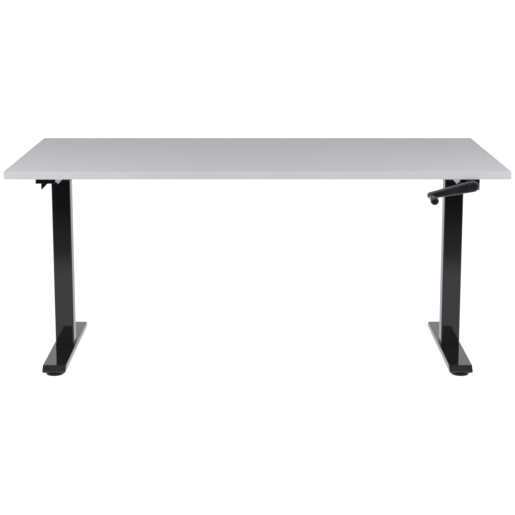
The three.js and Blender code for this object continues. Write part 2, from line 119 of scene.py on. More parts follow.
def finish(name, tones, gloss, grain, depth, metal=0.0, patch=6.0, ior=1.5, shine=0.5,
           speckle=0.0):
    """A surface finish. tones are its two base colours, mixed by the relief group's Cloud, and by
    its Height for the share speckle; gloss is its low and high roughness; grain and depth give the
    bump's cycles a metre and its height in metres."""
    material = bpy.data.materials.new(name)
    material.use_nodes = True
    nodes, links = material.node_tree.nodes, material.node_tree.links
    skin = nodes["Principled BSDF"]
    skin.inputs["Metallic"].default_value = metal
    skin.inputs["IOR"].default_value = ior
    skin.inputs["Specular IOR Level"].default_value = shine
    relief = nodes.new("ShaderNodeGroup")
    relief.node_tree = skin_relief
    relief.inputs["Grain"].default_value = grain
    relief.inputs["Patch"].default_value = patch
    share = nodes.new("ShaderNodeMix")
    share.data_type = "FLOAT"
    share.inputs["Factor"].default_value = speckle
    links.new(relief.outputs["Cloud"], share.inputs["A"])
    links.new(relief.outputs["Height"], share.inputs["B"])
    tone = nodes.new("ShaderNodeMix")
    tone.data_type = "RGBA"
    tone.inputs["A"].default_value = (*tones[0], 1.0)
    tone.inputs["B"].default_value = (*tones[1], 1.0)
    links.new(share.outputs["Result"], tone.inputs["Factor"])
    links.new(tone.outputs["Result"], skin.inputs["Base Color"])
    polish = nodes.new("ShaderNodeMapRange")
    polish.inputs["To Min"].default_value = gloss[0]
    polish.inputs["To Max"].default_value = gloss[1]
    links.new(relief.outputs["Cloud"], polish.inputs["Value"])
    links.new(polish.outputs["Result"], skin.inputs["Roughness"])
    bump = nodes.new("ShaderNodeBump")
    bump.inputs["Strength"].default_value = 1.0
    bump.inputs["Distance"].default_value = depth
    links.new(relief.outputs["Height"], bump.inputs["Height"])
    links.new(bump.outputs["Normal"], skin.inputs["Normal"])
    return material


def make_piece(name, points, faces, material, body, replaced=(), soft_angle=35.0,
               modifiers=()):
    """A shown piece from points in the desk's own frame, in metres, and its faces. Edges sharper
    than soft_angle stay crisp; the rest are shaded smooth, weighted by face area."""
    mesh = bpy.data.meshes.new(name)
    mesh.from_pydata(np.asarray(points, float).reshape(-1, 3).tolist(), [], faces)
    return show_piece(name, mesh, material, body, replaced, soft_angle, modifiers)


def show_piece(name, mesh, material, body, replaced, soft_angle, modifiers):
    """Puts a mesh in the scene as a piece that rides on a body, with its finish and modifiers."""
    mesh.update()
    mesh.polygons.foreach_set("use_smooth", np.ones(len(mesh.polygons), bool))
    mesh.set_sharp_from_angle(angle=math.radians(soft_angle))
    mesh.materials.clear()
    mesh.materials.append(material)
    piece = bpy.data.objects.new(name, mesh)
    bpy.context.scene.collection.objects.link(piece)
    for kind, settings in modifiers:
        modifier = piece.modifiers.new(kind.lower(), kind)
        for key, value in settings.items():
            setattr(modifier, key, value)
    weighted = piece.modifiers.new("weighted", "WEIGHTED_NORMAL")
    weighted.keep_sharp = True
    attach(piece, body)
    if replaced:
        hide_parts(*replaced)
    return piece


def ring_faces(rings, wrap=False, caps=True, start=0):
    """Faces for an array rings[i, j] of closed rings: quads from each ring to the next, and either
    quads from the last back to the first, or a flat face over each end."""
    count, sides = rings.shape[:2]
    index = start + np.arange(count * sides).reshape(count, sides)
    above = np.roll(index, -1, axis=0) if wrap else index[1:]
    below = index if wrap else index[:-1]
    quads = np.stack(
        [below, np.roll(below, -1, axis=1), np.roll(above, -1, axis=1), above], axis=-1
    )
    faces = quads.reshape(-1, 4).tolist()
    if caps and not wrap:
        faces.append(index[0][::-1].tolist())
        faces.append(index[-1].tolist())
    return faces


def arc(centre, radius, start, end, steps):
    """Points of a circular arc in a plane, from start to end degrees."""
    turn = np.radians(np.linspace(start, end, steps))
    return np.stack([centre[0] + radius * np.cos(turn), centre[1] + radius * np.sin(turn)], 1)


def rounded_loop(width, depth, corner, steps=7):
    """A rectangle with round corners as one closed loop, anticlockwise from its lower right."""
    x, y = width / 2 - corner, depth / 2 - corner
    return np.concatenate([
        arc((x, -y), corner, -90, 0, steps),
        arc((x, y), corner, 0, 90, steps),
        arc((-x, y), corner, 90, 180, steps),
        arc((-x, -y), corner, 180, 270, steps),
    ])


def raised(loop, centre, z):
    """A flat loop moved to centre and raised to the height z."""
    return np.column_stack([loop + centre, np.full(len(loop), z)])


laminate = finish("laminate_grey", ((0.470, 0.462, 0.492), (0.500, 0.492, 0.522)), (0.56, 0.64),
                  grain=1500.0, depth=0.00003, shine=0.35, speckle=0.6)
low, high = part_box("desktop")
middle = ((low.x + high.x) / 2, (low.y + high.y) / 2)
ARRIS = 0.0003
PANEL_CORNER = 0.0005
levels = [(low.z, ARRIS), (low.z + ARRIS, 0.0), (high.z - ARRIS, 0.0), (high.z, ARRIS)]
panel = np.array([
    raised(rounded_loop(high.x - low.x - 2 * inset, high.y - low.y - 2 * inset, PANEL_CORNER, 3),
           middle, z)
    for z, inset in levels
])
make_piece("worktop_panel", panel, ring_faces(panel), laminate, "lift", ["desktop"])

# ---------------------------------------------------------------------------------------------
# Edge bands. Strips of pale ABS, 1.2 mm thick, glued round the panel and scraped to a small
# radius. The front and back strips run the full width and cover the ends of the side strips.
# ---------------------------------------------------------------------------------------------
edging = finish("edge_band", ((0.440, 0.436, 0.458), (0.466, 0.462, 0.484)), (0.34, 0.42),
                grain=900.0, depth=0.00002, speckle=0.4)
EDGE_RADIUS = 0.0009


def edge_band(side_name, outward, end_radius):
    """A band as a section carried along the panel's side. The section is a thin upright rectangle
    whose two outer corners are arcs; at each end its depth d is cut to w - r + r cos(a) while it
    runs out r sin(a), which rounds the panel's upright corner."""
    node = f"edge_band_{side_name}"
    low, high = (np.array(corner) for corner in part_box(node))
    across = 1 if abs(outward[1]) else 0
    along = 1 - across
    thick = high[across] - low[across]
    tall = high[2] - low[2]
    r = EDGE_RADIUS
    section = np.concatenate([
        [[0.0, 0.0]],
        arc((thick - r, r), r, -90, 0, 6),
        arc((thick - r, tall - r), r, 0, 90, 6),
        [[0.0, tall]],
    ])
    turn = np.radians(np.linspace(90, 0, 7)) if end_radius else np.zeros(1)
    run_out = end_radius * (1 - np.sin(turn))
    limit = thick - end_radius * (1 - np.cos(turn)) if end_radius else np.full(1, thick)
    stations = np.concatenate([low[along] + run_out, (high[along] - run_out)[::-1]])
    limits = np.concatenate([limit, limit[::-1]])
    depth = np.minimum(section[None, :, 0], limits[:, None])
    inner = low[across] if outward[across] > 0 else high[across]
    rings = np.zeros((len(stations), len(section), 3))
    rings[..., along] = stations[:, None]
    rings[..., across] = inner + outward[across] * depth
    rings[..., 2] = low[2] + section[None, :, 1]
    if side_name in ("front", "right"):
        rings = rings[:, ::-1]
    make_piece(f"band_{side_name}", rings, ring_faces(rings), edging, "lift", [node])


for side_name, outward, end_radius in (
    ("front", (0, -1), EDGE_RADIUS),
    ("back", (0, 1), EDGE_RADIUS),
    ("left", (-1, 0), 0.0),
    ("right", (1, 0), 0.0),
):
    edge_band(side_name, outward, end_radius)

# ---------------------------------------------------------------------------------------------
# Outer columns. Rolled rectangular steel tube, 65 by 52 mm with a 2 mm wall, stood on each foot
# and powder coated gloss black, so that it mirrors the pale studio and the foot in front of it.
# ---------------------------------------------------------------------------------------------
black_coat = finish("black_coat", ((0.0052, 0.0046, 0.0054), (0.0064, 0.0058, 0.0066)),
                    (0.045, 0.070), grain=420.0, depth=0.000004, patch=9.0, ior=1.52)


def square_tube(node, name, corner, wall, edge, material, body):
    """A standing tube that fills a CAD node's box. Its wall is one closed strip of rings: up the
    outside, over the rounded mouth, down the inside and under the rounded foot."""
    low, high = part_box(node)
    centre = ((low.x + high.x) / 2, (low.y + high.y) / 2)
    steps = [(low.z, edge), (low.z + edge, 0), (high.z - edge, 0), (high.z - 0.3 * edge, 0.3 * edge),
             (high.z, edge), (high.z, wall - edge), (high.z - edge, wall), (low.z + edge, wall),
             (low.z, wall - edge)]
    rings = np.array([
        raised(rounded_loop(high.x - low.x - 2 * inset, high.y - low.y - 2 * inset, corner - inset),
               centre, z)
        for z, inset in steps
    ])
    return make_piece(name, rings, ring_faces(rings, wrap=True), material, body, [node])


SIDES = ("left", "right")
for side_name in SIDES:
    square_tube(f"outer_tube_{side_name}", f"column_{side_name}", corner=0.005, wall=0.002,
                edge=0.0006, material=black_coat, body="frame")

# ---------------------------------------------------------------------------------------------
# Inner columns. The smaller tube that slides in each outer one, coated the same. It is hidden at
# the lowest setting and shows as a second, slimmer column when the desk is raised.
# ---------------------------------------------------------------------------------------------
for side_name in SIDES:
    square_tube(f"inner_tube_{side_name}", f"inner_column_{side_name}", corner=0.0035, wall=0.0015,
                edge=0.0005, material=black_coat, body="lift")

# ---------------------------------------------------------------------------------------------
# Slide collars. An injection moulded sleeve in the mouth of each outer column guides the inner
# one, with a rim that covers the cut edge of the steel.
# ---------------------------------------------------------------------------------------------
moulded_black = finish("moulded_black", ((0.010, 0.010, 0.0105), (0.014, 0.014, 0.0145)),
                       (0.32, 0.42), grain=1800.0, depth=0.00004, patch=25.0)


def slide_collar(side_name):
    """The collar as one closed strip: up the skirt's outside, out under the rim, round the rim's
    edge, across its top, and down the bore that the inner column slides in."""
    node = f"upper_slider_{side_name}"
    low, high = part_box(node)
    tube_low, tube_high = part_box(f"outer_tube_{side_name}")
    bore_low, bore_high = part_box(f"inner_tube_{side_name}")
    centre = ((low.x + high.x) / 2, (low.y + high.y) / 2)
    full = np.array([high.x - low.x, high.y - low.y])
    gap, seat, overlap, soft = 0.0002, 0.0001, 0.0022, 0.0008
    skirt = full - 2 * overlap
    bore = np.array([bore_high.x - bore_low.x, bore_high.y - bore_low.y]) + 2 * gap
    rim_low = tube_high.z + seat
    rows = [  # outline, its corner radius, and its height
        (skirt, 0.003, low.z), (skirt, 0.003, rim_low), (full, 0.005, rim_low),
        (full, 0.005, high.z - soft), (full - 0.6 * soft, 0.005, high.z - 0.3 * soft),
        (full - 2 * soft, 0.0045, high.z), (bore + soft, 0.0042, high.z),
        (bore, 0.0038, high.z - 0.5 * soft), (bore, 0.0038, low.z),
    ]
    rings = np.array([
        raised(rounded_loop(*size, corner), centre, z) for size, corner, z in rows
    ])
    make_piece(f"collar_{side_name}", rings, ring_faces(rings, wrap=True), moulded_black, "frame",
               [node])


for side_name in SIDES:
    slide_collar(side_name)

# ---------------------------------------------------------------------------------------------
# Feet. A long flat box of welded steel under each column, 78 mm wide, with ends that lean out to
# the floor and rounded lower corners, coated in the same gloss black as the columns.
# ---------------------------------------------------------------------------------------------


def outward_normals(loop):
    """Mitred outward normals of an anticlockwise loop: the two neighbouring edges' normals added
    and lengthened so that a step along them moves both edges by that step."""
    before = loop - np.roll(loop, 1, axis=0)
    after = np.roll(loop, -1, axis=0) - loop
    sides = [np.stack([edge[:, 1], -edge[:, 0]], 1) for edge in (before, after)]
    sides = [side / np.linalg.norm(side, axis=1, keepdims=True) for side in sides]
    total = sides[0] + sides[1]
    return 2 * total / np.sum(total * total, axis=1, keepdims=True)


def carried_outline(loop, start, end, fillet, steps=5):
    """Rings of an outline carried from start to end, with a quarter-round fillet f at both, one for
    all or one for each point: at angle a the ring is set in by f (1 - cos a) and stands
    f (1 - sin a) from the end."""
    turn = np.radians(np.linspace(90, 0, steps))[:, None]
    fillet = np.broadcast_to(fillet, len(loop))
    inset = fillet * (1 - np.cos(turn))
    reach = fillet * (1 - np.sin(turn))
    levels = np.concatenate([start + reach, (end - reach)[::-1]])
    insets = np.concatenate([inset, inset[::-1]])
    flat = loop[None] - outward_normals(loop)[None] * insets[..., None]
    return np.concatenate([flat, levels[..., None]], 2)


def foot(side_name):
    """A foot as its side outline, in y and z, carried across its width. The outline is two straight
    leaning ends with arcs at the lower and top corners, and the long edges' fillet grows in a
    straight line with depth, from crisp along the top to well rounded underneath."""
    node = f"foot_{side_name}"
    low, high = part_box(node)
    middle = (low.y + high.y) / 2
    half = (high.y - low.y) / 2
    lean, soft, crest = 0.0205, 0.0055, 0.0016
    under_fillet, top_fillet = 0.0052, 0.0014
    top_half = half - lean
    soft_place = half - soft - 0.0012
    outline = np.concatenate([
        arc((soft_place, low.z + soft), soft, -90, 22, 7),
        arc((top_half - crest, high.z - crest), crest, 40, 90, 4),
        arc((-top_half + crest, high.z - crest), crest, 90, 140, 4),
        arc((-soft_place, low.z + soft), soft, 158, 270, 7),
    ])
    fillet = np.interp(outline[:, 1], [low.z + 0.004, high.z - 0.006], [under_fillet, top_fillet])
    rings = carried_outline(outline, low.x, high.x, fillet)
    points = np.stack([rings[..., 2], middle + rings[..., 0], rings[..., 1]], -1)
    make_piece(f"foot_box_{side_name}", points, ring_faces(points), black_coat, "frame", [node])


for side_name in SIDES:
    foot(side_name)

# ---------------------------------------------------------------------------------------------
# Levelling glides. A round moulded pad with a finger-gripped rim on an M8 zinc plated stud, which
# is screwed into the underside of each end of each foot.
# ---------------------------------------------------------------------------------------------
glide_rubber = finish("glide_rubber", ((0.0075, 0.0075, 0.0080), (0.012, 0.012, 0.0125)),
                      (0.45, 0.58), grain=2200.0, depth=0.00005, patch=30.0)
plated = finish("zinc_plate", ((0.46, 0.47, 0.49), (0.56, 0.56, 0.57)), (0.22, 0.34),
                grain=700.0, depth=0.000006, metal=1.0, patch=40.0, ior=1.5)


def turned_rings(profile, sides):
    """Rings of a solid of revolution about Z from [radius, z] pairs, anticlockwise seen from +Z."""
    turn = np.linspace(0, 2 * np.pi, sides, endpoint=False)
    radius, z = np.asarray(profile, float).T
    flat = radius[:, None, None] * np.stack([np.cos(turn), np.sin(turn)], 1)[None]
    return np.concatenate([flat, np.broadcast_to(z[:, None, None], (*flat.shape[:2], 1))], 2)


def thread_rings(radius, pitch, depth, z0, z1, starts=1, sides=24, rows_per_pitch=6):
    """Rings of a screw thread: at height z and angle a the radius falls by the depth times a
    flat-topped triangle wave of z / pitch - starts a / 2 pi, which dies out within one pitch of
    each end. A negative starts gives a left-hand thread."""
    rows = int((z1 - z0) / pitch * rows_per_pitch)
    z = np.linspace(z0, z1, rows)
    turn = np.linspace(0, 2 * np.pi, sides, endpoint=False)
    phase = (z[:, None] / pitch - starts * turn[None] / (2 * np.pi)) % 1.0
    wave = np.clip(np.abs(2 * phase - 1) * 1.6 - 0.3, 0, 1)
    run_out = np.clip(np.minimum(z - z0, z1 - z) / pitch, 0, 1)[:, None]
    r = radius - depth * (1 - (1 - wave) * run_out)
    return np.stack([r * np.cos(turn), r * np.sin(turn), np.broadcast_to(z[:, None], r.shape)], -1)


def glide(end_name):
    """One glide. The pad is a solid of revolution with an arched crown, and its rim waves by 0.35
    mm, 30 times round, for the fingers; the stud is a thread run out at both ends."""
    low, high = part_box(f"glide_pad_{end_name}")
    centre = np.array([(low.x + high.x) / 2, (low.y + high.y) / 2, 0.0])
    wide = (high.x - low.x) / 2
    tall = high.z - low.z
    profile = np.array([
        (0.004, 0.0), (wide - 0.0022, 0.0), (wide - 0.0008, 0.0006), (wide - 0.0001, 0.0020),
        (wide, 0.0032), (wide - 0.0001, tall - 0.0036), (wide - 0.0010, tall - 0.0020),
        (wide - 0.0032, tall - 0.0008), (wide - 0.0075, tall - 0.0001), (0.0085, tall),
        (0.0075, tall), (0.004, tall),
    ])
    grips, grip_depth, rim_depth = 30, 0.00035, 0.0012
    rings = turned_rings(profile, 4 * grips)
    turn = np.linspace(0, 2 * np.pi, 4 * grips, endpoint=False)
    on_rim = np.clip((profile[:, 0] - (wide - rim_depth)) / rim_depth, 0, 1)
    wave = 1 - grip_depth / wide * on_rim[:, None] * (1 - np.cos(grips * turn))[None] / 2
    rings[..., :2] *= wave[..., None]
    points = rings + centre + [0, 0, low.z]
    make_piece(f"pad_{end_name}", points, ring_faces(points), glide_rubber, f"glide_{end_name}",
               [f"glide_pad_{end_name}"])
    stud_low, stud_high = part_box(f"glide_stud_{end_name}")
    stud = centre + thread_rings((stud_high.x - stud_low.x) / 2, pitch=0.00125, depth=0.0007,
                                 z0=stud_low.z, z1=stud_high.z)
    make_piece(f"stud_{end_name}", stud, ring_faces(stud), plated, f"glide_{end_name}",
               [f"glide_stud_{end_name}"])


for side_name in SIDES:
    for end in ("front", "back"):
        glide(f"{side_name}_{end}")

# ---------------------------------------------------------------------------------------------
# Side brackets. Trays pressed from 2 mm sheet and screwed up under the top over each gear head:
# a flat web, a lip at each end, an inner flange that deepens from its ends and an outer flange
# that steps down to an apron either side of the column.
# ---------------------------------------------------------------------------------------------


def strip_faces(rows, start=0):
    """Quads over an open grid of points rows[i, j]."""
    count, across = rows.shape[:2]
    index = start + np.arange(count * across).reshape(count, across)
    quads = np.stack([index[:-1, :-1], index[:-1, 1:], index[1:, 1:], index[1:, :-1]], -1)
    return quads.reshape(-1, 4).tolist()


SHEET = 0.002
BEND = 0.0032
sheet_steel = [
    ("SOLIDIFY", {"thickness": SHEET, "offset": -1.0, "use_even_offset": True}),
    ("BEVEL", {"width": 0.0003, "segments": 2, "limit_method": "ANGLE",
               "angle_limit": math.radians(50), "harden_normals": True}),
]


def folded_channel(x0, x1, z_top, stations, left_depth, right_depth):
    """The outer skin of a channel open downwards, as rows along y. Each row climbs the left flange
    from its depth, turns a bend of radius BEND, crosses the web and comes down the right flange."""
    corner_left = arc((x0 + BEND, z_top - BEND), BEND, 180, 90, 6)
    corner_right = arc((x1 - BEND, z_top - BEND), BEND, 90, 0, 6)
    below_bend = z_top - BEND - 0.001
    rows = []
    for y, deep_left, deep_right in zip(stations, left_depth, right_depth):
        path = np.concatenate([
            [[x0, z_top - deep_left], [x0, below_bend]],
            corner_left,
            corner_right,
            [[x1, below_bend], [x1, z_top - deep_right]],
        ])
        rows.append(np.column_stack([path[:, 0], np.full(len(path), y), path[:, 1]]))
    return np.array(rows)


def side_bracket(side_name):
    """The bracket: a folded channel whose flange depths are straight-line functions of y, and two
    end lips as wide as the tray, each a strip that bends down through a quarter circle where the
    channel stops, which leaves a small relief notch at each corner."""
    node = f"side_bracket_{side_name}"
    low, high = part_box(node)
    middle = (low.y + high.y) / 2
    half = (high.y - low.y) / 2
    apron, lip, web, web_end, taper = 0.062, 0.024, 0.035, 0.015, 0.057
    relief, ramp = 0.0004, 0.0015
    step = half - 0.097
    stop = half - BEND - relief
    y = np.array([-stop, -half + taper, -step - ramp, -step, step, step + ramp, half - taper, stop])
    inner = np.interp(np.abs(y), [half - taper, half], [web, web_end])
    outer = np.where(np.abs(y) <= step, apron, lip)
    flanges = (outer, inner) if side_name == "left" else (inner, outer)
    rows = folded_channel(low.x, high.x, high.z, middle + y, *flanges)
    points = [rows.reshape(-1, 3)]
    faces = strip_faces(rows)
    for end in (-1, 1):
        bend = arc((half - BEND, high.z - BEND), BEND, 90, 0, 6)
        drop = np.concatenate([bend, [[half, high.z - lip]]])
        across = np.array([low.x + relief, high.x - relief])[::end]
        lip_rows = np.array([[(x, middle + end * out, z) for x in across] for out, z in drop])
        faces += strip_faces(lip_rows, sum(len(p) for p in points))
        points.append(lip_rows.reshape(-1, 3))
    make_piece(f"tray_{side_name}", np.concatenate(points), faces, black_coat, "lift", [node],
               modifiers=sheet_steel)


for side_name in SIDES:
    side_bracket(side_name)

# ---------------------------------------------------------------------------------------------
# Cross rails. Two folded steel channels that hold the brackets apart and carry the top between
# the legs, their open sides facing each other.
# ---------------------------------------------------------------------------------------------


def cross_rail(end_name):
    """A rail as a C section with bend arcs, carried along x from one bracket to the other."""
    node = f"cross_rail_{end_name}"
    low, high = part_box(node)
    outer, inner = (low.y, high.y) if end_name == "front" else (high.y, low.y)
    sign = 1 if end_name == "front" else -1
    path = np.concatenate([
        [[sign * (inner - outer), high.z]],
        arc((BEND, high.z - BEND), BEND, 90, 180, 6),
        arc((BEND, low.z + BEND), BEND, 180, 270, 6),
        [[sign * (inner - outer), low.z]],
    ])
    rows = np.array([
        [(x, outer + sign * depth, z) for depth, z in path] for x in (low.x, high.x)[::sign]
    ])
    make_piece(f"rail_{end_name}", rows, strip_faces(rows), black_coat, "lift", [node],
               modifiers=sheet_steel)


for end_name in ("front", "back"):
    cross_rail(end_name)

# ---------------------------------------------------------------------------------------------
# Bracket screws. Pan-head wood screws, zinc plated, that hold each tray up to the board. Their
# heads show on the underside, two by two, inside the tray.
# ---------------------------------------------------------------------------------------------


def pan_head(radius, crown=0.0024, cross_width=0.0016, cross_depth=0.0014, sides=48):
    """A pan head seen from below, as rings from its middle out. Its face hangs at the low dome
    h sqrt(1 - 0.9 (r / R)^2), less a cross recess where the distance from the nearest arm's middle
    line, r sin a, is under half the cross's width and r is inside 0.6 R."""
    share = np.array([0.02, 0.2, 0.4, 0.52, 0.7, 0.85, 0.95, 1.0])[:, None]
    turn = np.linspace(0, 2 * np.pi, sides, endpoint=False)
    from_arm = np.abs(((turn + np.pi / 4) % (np.pi / 2)) - np.pi / 4)
    r = radius * share * np.ones(sides)
    in_cross = (r * np.sin(from_arm) < cross_width / 2) & (share < 0.6)
    drop = crown * np.sqrt(1 - 0.9 * share**2) - cross_depth * in_cross
    face = np.stack([r * np.cos(turn), r * np.sin(turn), -drop], -1)
    return np.concatenate([face, face[-1:] * [1, 1, 0]])


SCREW_INSET = 0.014
SCREW_ROWS = (-0.27, -0.15, 0.15, 0.27)
head = pan_head(0.0048)
for side_name in SIDES:
    low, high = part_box(f"side_bracket_{side_name}")
    middle = (low.y + high.y) / 2
    points, faces = [], []
    for x in (low.x + SCREW_INSET, high.x - SCREW_INSET):
        for row in SCREW_ROWS:
            faces += ring_faces(head, start=sum(len(part) for part in points))
            points.append(head.reshape(-1, 3) + [x, middle + row, high.z - SHEET])
    make_piece(f"tray_screws_{side_name}", np.concatenate(points), faces, plated, "lift", (),
               soft_angle=25.0)

# ---------------------------------------------------------------------------------------------
# Crank plate and bush. A folded 3 mm plate closes the front end of the right bracket and carries
# a flanged plastic bush, in which the crank's shaft turns and slides.
# ---------------------------------------------------------------------------------------------
low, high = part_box("crank_bracket")
thick = 0.003
tooth, notch, soft = 0.0045, 0.004, 0.001
sill = low.z + notch
plate_outline = np.concatenate([
    arc((low.x + soft, sill + soft), soft, 180, 270, 5),
    arc((high.x - tooth - notch, low.z), notch, 90, 0, 9),
    arc((high.x - soft, low.z + soft), soft, -90, 0, 5),
    [[high.x, high.z], [low.x, high.z]],
])
rings = carried_outline(plate_outline, low.y, low.y + thick, 0.0006, 3)
plate = np.stack([rings[..., 0], rings[..., 2], rings[..., 1]], -1)[:, ::-1]
flange_face = high.x - 0.0021
flange_top = high.z - 0.026
flange_start = low.y + 0.001
corner_cut = 0.006
flange_outline = np.array([
    [flange_start, low.z], [high.y - corner_cut, low.z], [high.y, low.z + corner_cut],
    [high.y, flange_top], [flange_start, flange_top],
])
rings = carried_outline(flange_outline, flange_face - thick, flange_face, 0.0004, 3)
flange = np.stack([rings[..., 2], rings[..., 0], rings[..., 1]], -1)
plate_faces = ring_faces(plate) + ring_faces(flange, start=plate.shape[0] * plate.shape[1])
make_piece("crank_plate", np.concatenate([plate.reshape(-1, 3), flange.reshape(-1, 3)]), plate_faces,
           black_coat, "lift", ["crank_bracket"])


def facing_sitter(rings, centre):
    """Rings drawn about +Z, laid so that +Z points at the sitter: (x, y, z) goes to (x, -z, y)."""
    return np.stack([centre[0] + rings[..., 0], centre[1] - rings[..., 2],
                     centre[2] + rings[..., 1]], -1)


low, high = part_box("crank_bush")
crank_axis = ((low.x + high.x) / 2, (low.z + high.z) / 2)
bush_radius = (high.x - low.x) / 2
bush_length = high.y - low.y
bush_profile = [
    (0.0064, 0.0), (0.0095, 0.0), (0.0095, bush_length - 0.0042), (bush_radius, bush_length - 0.0039),
    (bush_radius, bush_length - 0.0014), (bush_radius - 0.0006, bush_length - 0.0004),
    (bush_radius - 0.0018, bush_length), (0.0078, bush_length), (0.0066, bush_length - 0.0008),
    (0.0064, bush_length - 0.002),
]
rings = facing_sitter(turned_rings(bush_profile, 64), (crank_axis[0], high.y, crank_axis[1]))
make_piece("shaft_bush", rings, ring_faces(rings, wrap=True), moulded_black, "lift", ["crank_bush"])

# ---------------------------------------------------------------------------------------------
# Crank arm. A cast link that narrows from its hub to the knob, its edges well rounded so that
# they catch the light, coated black, with a shallow waist sunk in its front face.
# ---------------------------------------------------------------------------------------------
low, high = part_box("knob_grip")
knob_axis = ((low.x + high.x) / 2, (low.z + high.z) / 2)
knob_ends = (low.y, high.y)
arm_low, arm_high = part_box("crank_arm")
reach = math.hypot(knob_axis[0] - crank_axis[0], knob_axis[1] - crank_axis[1])
heading = math.atan2(knob_axis[1] - crank_axis[1], knob_axis[0] - crank_axis[0])
HUB_RADIUS, TIP_RADIUS = 0.018, 0.0105


def link_loop(hub, tip, start, end, steps=15):
    """A tapering link: an arc round each end, joined by their two outer tangents, which lean by
    asin((hub - tip) / length)."""
    lean = math.degrees(math.asin((hub - tip) / (end - start)))
    return np.concatenate([
        arc((end, 0), tip, -90 + lean, 90 - lean, steps),
        arc((start, 0), hub, 90 - lean, 270 + lean, 2 * steps),
    ])


def along_arm(loop):
    """Turns a loop drawn along +X so that it runs from the hub to the knob."""
    c, s = math.cos(heading), math.sin(heading)
    return np.stack([c * loop[:, 0] - s * loop[:, 1], s * loop[:, 0] + c * loop[:, 1]], 1)


arm_loop = link_loop(HUB_RADIUS, TIP_RADIUS, 0.0, reach)
arm_normals = outward_normals(arm_loop)
arm_thick = arm_high.y - arm_low.y
BACK_FILLET, FRONT_FILLET = 0.0015, 0.0034
turn = np.radians(np.linspace(0, 90, 7))
arm_rows = [
    *zip(BACK_FILLET * (1 - np.cos(turn)), BACK_FILLET * (1 - np.sin(turn))),
    *zip(arm_thick - FRONT_FILLET * (1 - np.sin(turn)), FRONT_FILLET * (1 - np.cos(turn))),
    (arm_thick, 0.0046), (arm_thick - 0.0006, 0.0052), (arm_thick - 0.0007, 0.0064),
]
rings = np.array([
    np.column_stack([along_arm(arm_loop - arm_normals * inset), np.full(len(arm_loop), level)])
    for level, inset in arm_rows
])
rings = facing_sitter(rings, (crank_axis[0], arm_high.y, crank_axis[1]))
arm_coat = finish("arm_coat", ((0.0068, 0.0060, 0.0070), (0.0090, 0.0080, 0.0092)), (0.12, 0.18),
                  grain=900.0, depth=0.00001, patch=20.0, ior=2.1)
make_piece("arm_link", rings, ring_faces(rings), arm_coat, "crank", ["crank_arm"])

# ---------------------------------------------------------------------------------------------
# Hub cap. A pressed-in plastic cap that hides the end of the shaft, with a turned groove near its
# rim and a faintly domed middle.
# ---------------------------------------------------------------------------------------------
knob_plastic = finish("knob_plastic", ((0.0070, 0.0066, 0.0074), (0.0095, 0.0090, 0.0100)),
                      (0.11, 0.17), grain=1500.0, depth=0.000010, patch=30.0, ior=1.8)
low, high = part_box("crank_cap")
cap_radius = (high.x - low.x) / 2
cap_tall = high.y - low.y
CAP_FILLET = 0.0018
cap_profile = np.concatenate([
    [[0.002, 0.0], [cap_radius, 0.0]],
    arc((cap_radius - CAP_FILLET, cap_tall - CAP_FILLET), CAP_FILLET, 0, 90, 7),
    [[cap_radius - 0.0030, cap_tall], [cap_radius - 0.0034, cap_tall - 0.0009],
     [cap_radius - 0.0044, cap_tall - 0.0009], [cap_radius - 0.0048, cap_tall - 0.0001],
     [0.006, cap_tall - 0.00005], [0.002, cap_tall]],
])
rings = facing_sitter(turned_rings(cap_profile, 72), (crank_axis[0], high.y, crank_axis[1]))
make_piece("hub_cap", rings, ring_faces(rings), knob_plastic, "crank", ["crank_cap"])

# ---------------------------------------------------------------------------------------------
# Knob and pin. The handle is a smooth moulded grip that swells to its end and spins on a plated
# steel pin riveted through the arm; a washer face and a short bright neck show between them.
# ---------------------------------------------------------------------------------------------
low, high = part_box("knob_grip")
grip_radius = (high.x - low.x) / 2
length = high.y - low.y
share = np.linspace(0, 1, 26)
swell = grip_radius * np.interp(share, [0, 0.18, 0.4, 0.64, 0.86, 1.0],
                                [0.595, 0.64, 0.75, 0.905, 1.0, 0.985])
smooth = np.convolve(np.pad(swell, 2, mode="edge"), np.ones(5) / 5, mode="valid")
skin_profile = np.column_stack([smooth, 0.0012 + share * (length - 0.0042)])
end_radius = skin_profile[-1, 0]
dome = [
    (end_radius - 0.0005, length - 0.0018), (end_radius - 0.0016, length - 0.0007),
    (end_radius - 0.0034, length - 0.0002), (end_radius - 0.0050, length),
    (end_radius - 0.0054, length - 0.0006), (end_radius - 0.0062, length - 0.0006),
    (end_radius - 0.0066, length), (0.0012, length),
]
base = [(0.0048, 0.0), (skin_profile[0, 0] - 0.0012, 0.0), (skin_profile[0, 0] - 0.0003, 0.0004)]
bore = [(0.0012, length - 0.008), (0.0046, length - 0.008), (0.0046, 0.0006)]
grip = turned_rings(np.concatenate([base, skin_profile, dome, bore]), 64)
rings = facing_sitter(grip, (knob_axis[0], high.y, knob_axis[1]))
make_piece("knob_handle", rings, ring_faces(rings, wrap=True), knob_plastic, "knob", ["knob_grip"])

low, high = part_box("knob_pin")
neck = knob_ends[1]
pin_length = high.y - low.y
washer = high.y - neck
pin_profile = [
    (0.001, 0.0), (0.0034, 0.0), (0.0040, 0.0006), (0.0040, washer - 0.0055),
    (0.0066, washer - 0.0054), (0.0066, washer - 0.0040), (0.0052, washer - 0.0036),
    (0.0050, washer - 0.0010), (0.0040, washer - 0.0008), (0.0040, pin_length - 0.0008),
    (0.0032, pin_length), (0.001, pin_length),
]
rings = facing_sitter(turned_rings(pin_profile, 48), (knob_axis[0], high.y, knob_axis[1]))
make_piece("knob_axle", rings, ring_faces(rings), plated, "crank", ["knob_pin"])

